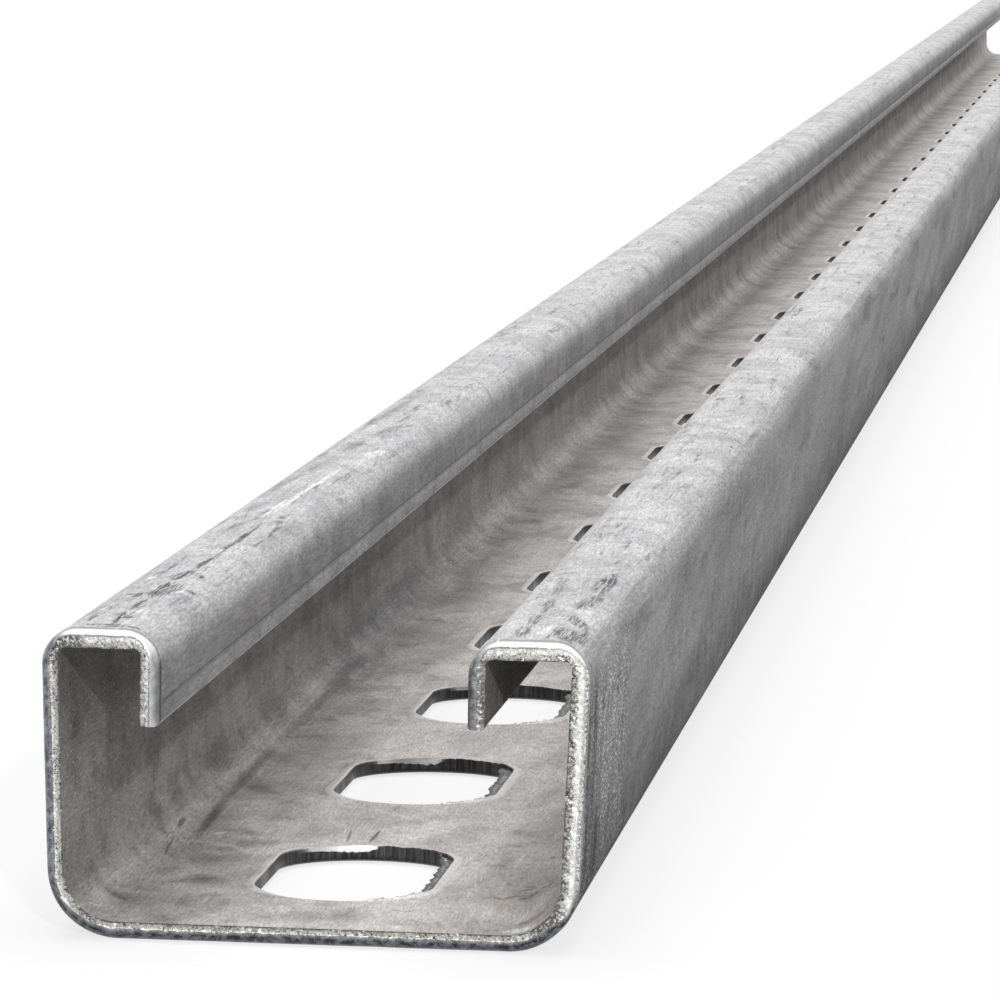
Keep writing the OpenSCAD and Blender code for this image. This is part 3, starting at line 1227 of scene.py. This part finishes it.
def fracture_tone(g):
    """The torn steel: glittering grains with dark pits, lined where it meets the mouth
    and the burnished edge, stained at its corners and with a few rust spots."""
    right = g.x.ramp(17, 19)
    patches = g.noise(g.placed(g.body, shift=4), 900, 3, 0.6)
    low = patches.ramp(0.38, 0.58, 0.16, 0.5)
    # Lighter at the flanges' tops: a painted highlight
    low = g.math("MAXIMUM", low, g.up.ramp(21.8, 22.4, 0, 0.4))
    low = g.math("MAXIMUM", low, right * g.outside.ramp(0.32, 0.55, 0, 0.58))
    bright = g.noise(g.body, 9000, 2, 0.7).ramp(0.38, 0.62, low, 0.86)
    bright = bright * g.outside.ramp(0.15, 0.5, 0.72, right * 0.15 + 1.12)
    tint = g.noise(g.body, 4200, 1, output="Color")
    steel = g.mix(0.45, g.vector(bright, bright, bright * 0.95), tint, blend="SOFT_LIGHT")
    pits = g.noise(g.placed(g.body, shift=7), 3600, 4, 0.75)
    pitted = pits.ramp(0.55 - right * 0.12, 0.62) * g.outside.ramp(0.5, 0.3, 0.28, 1)
    steel = g.mix(pitted, steel, grey(0.045))
    inner_line = broken(g, g.outside.ramp(0.14, 0.02), 0.6, 0.34, 0.5)
    steel = g.mix(inner_line * 0.8, steel, grey(0.05, 0.1))
    share = g.attribute("cut")
    seam = share * (1 - share) * 4 * g.x.ramp(19, 17, 0.25, 1)
    steel = g.mix(broken(g, seam, 0.8, 0.38, 0.5), steel, grey(0.05, 0.1))
    stains = strokes(g, g.vector(g.x, g.up, 0), CUT_STAINS)
    steel = g.mix(broken(g, stains, 0.24, 0.42, 0.5), steel, STAIN)
    return g.mix(specks(g, 0.2, 0.06, 2), steel, (0.55, 0.26, 0.05, 1))


# What each finish is made of, for steel_finish
LOOKS = {
    "mouth": dict(tone_of=mouth_tone),
    "flange": dict(tone_of=flange_tone),
    "wall": dict(tone_of=wall_tone, metallic=0.05, gloss=0.01),
    "cut": dict(tone_of=cut_tone, metallic=0.4, rough=(0.3, 0.42)),
    "slot": dict(tone_of=slot_tone, metallic=0.4, rough=(0.4, 0.55)),
}


# ---- The studio ----

# The camera's place is measured from the near end's middle, and its turns are degrees
CAMERA_PLACE = (64.7, -471, 83.1)
CAMERA_TURN = (84.075, -0.91, 6.271)
CAMERA_LENS = 232.2
CAMERA_SENSOR = 36
# How strong the white world is for light that only bounces
SKY_LIGHT = 0.27
FLOOR_REACH = 12000
FLOOR_GAP = 0.02
# The share of the floor's own white glow, over which the shadow shows
FLOOR_GLOW = 0.75


def in_scene(name, data):
    """A new object, linked into the scene."""
    made = bpy.data.objects.new(name, data)
    bpy.context.scene.collection.objects.link(made)
    return made


def studio_camera():
    """The photograph's viewing angle."""
    data = bpy.data.cameras.new("camera")
    data.sensor_width = CAMERA_SENSOR
    data.lens = CAMERA_LENS
    data.clip_start = 0.01
    data.clip_end = 100
    camera = in_scene("camera", data)
    camera.location = (Vector(CAMERA_PLACE) + Vector((0, NEAR_Y, 0))) * MM
    camera.rotation_euler = Euler([math.radians(a) for a in CAMERA_TURN])
    bpy.context.scene.camera = camera


def sun(name, direction, strength, spread):
    """A soft distant lamp. direction is the way its light travels."""
    data = bpy.data.lights.new(name, "SUN")
    data.energy = strength
    data.angle = math.radians(spread)
    lamp = in_scene(name, data)
    lamp.rotation_mode = "QUATERNION"
    lamp.rotation_quaternion = Vector(direction).to_track_quat("-Z", "Y")


def seen_directly(g):
    """1 for rays from the camera and for reflections, 0 for light that only bounces."""
    rays = ("Is Camera Ray", "Is Glossy Ray", "Is Transmission Ray")
    camera, glossy, through = g.results("LightPath", rays)
    return g.math("MAXIMUM", g.math("MAXIMUM", camera, glossy), through)


def studio_world():
    world = bpy.data.worlds.new("studio")
    world.use_nodes = True
    bpy.context.scene.world = world
    g = Graph(world.node_tree)
    strength = g.mix_value(seen_directly(g), SKY_LIGHT, 1)
    back = g.result("Background", {"Color": grey(1), "Strength": strength})
    g.add("OutputWorld", {"Surface": back})


def studio_floor():
    """A pale floor. It looks white and keeps the shadow, and throws little light up."""
    reach = FLOOR_REACH * MM
    corners = [(-reach, -reach, 0), (reach, -reach, 0), (reach, reach, 0), (-reach, reach, 0)]
    mesh = bpy.data.meshes.new("floor")
    mesh.from_pydata(corners, [], [(0, 1, 2, 3)])
    floor = in_scene("floor", mesh)
    floor.location.z = -FLOOR_GAP * MM
    material = bpy.data.materials.new("floor")
    material.use_nodes = True
    g = Graph(material.node_tree)
    white = g.result("BsdfDiffuse", {"Color": grey(0.95)})
    glow = g.result("Emission", {"Color": grey(1), "Strength": 1})
    seen = g.result("MixShader", {0: FLOOR_GLOW, 1: white, 2: glow})
    dim = g.result("BsdfDiffuse", {"Color": grey(0.18)})
    both = g.result("MixShader", {0: seen_directly(g), 1: dim, 2: seen})
    g.add("OutputMaterial", {"Surface": both})
    mesh.materials.append(material)


def studio():
    bpy.context.scene.view_settings.view_transform = "Standard"
    studio_camera()
    studio_world()
    studio_floor()
    sun("overhead", (0.02, -0.25, -1), 1.95, 50)
    sun("front_right", (-0.3, 1, -0.36), 1.6, 1.2)
    sun("front_left", (0.28, 1, -0.42), 0.45, 12)


# ---- The scene ----

steel = in_scene("channel_steel", channel_mesh())
for finish in FINISHES:
    steel.data.materials.append(steel_finish(finish, **LOOKS[finish]))
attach(steel, "root")
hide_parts(NODE)
studio()
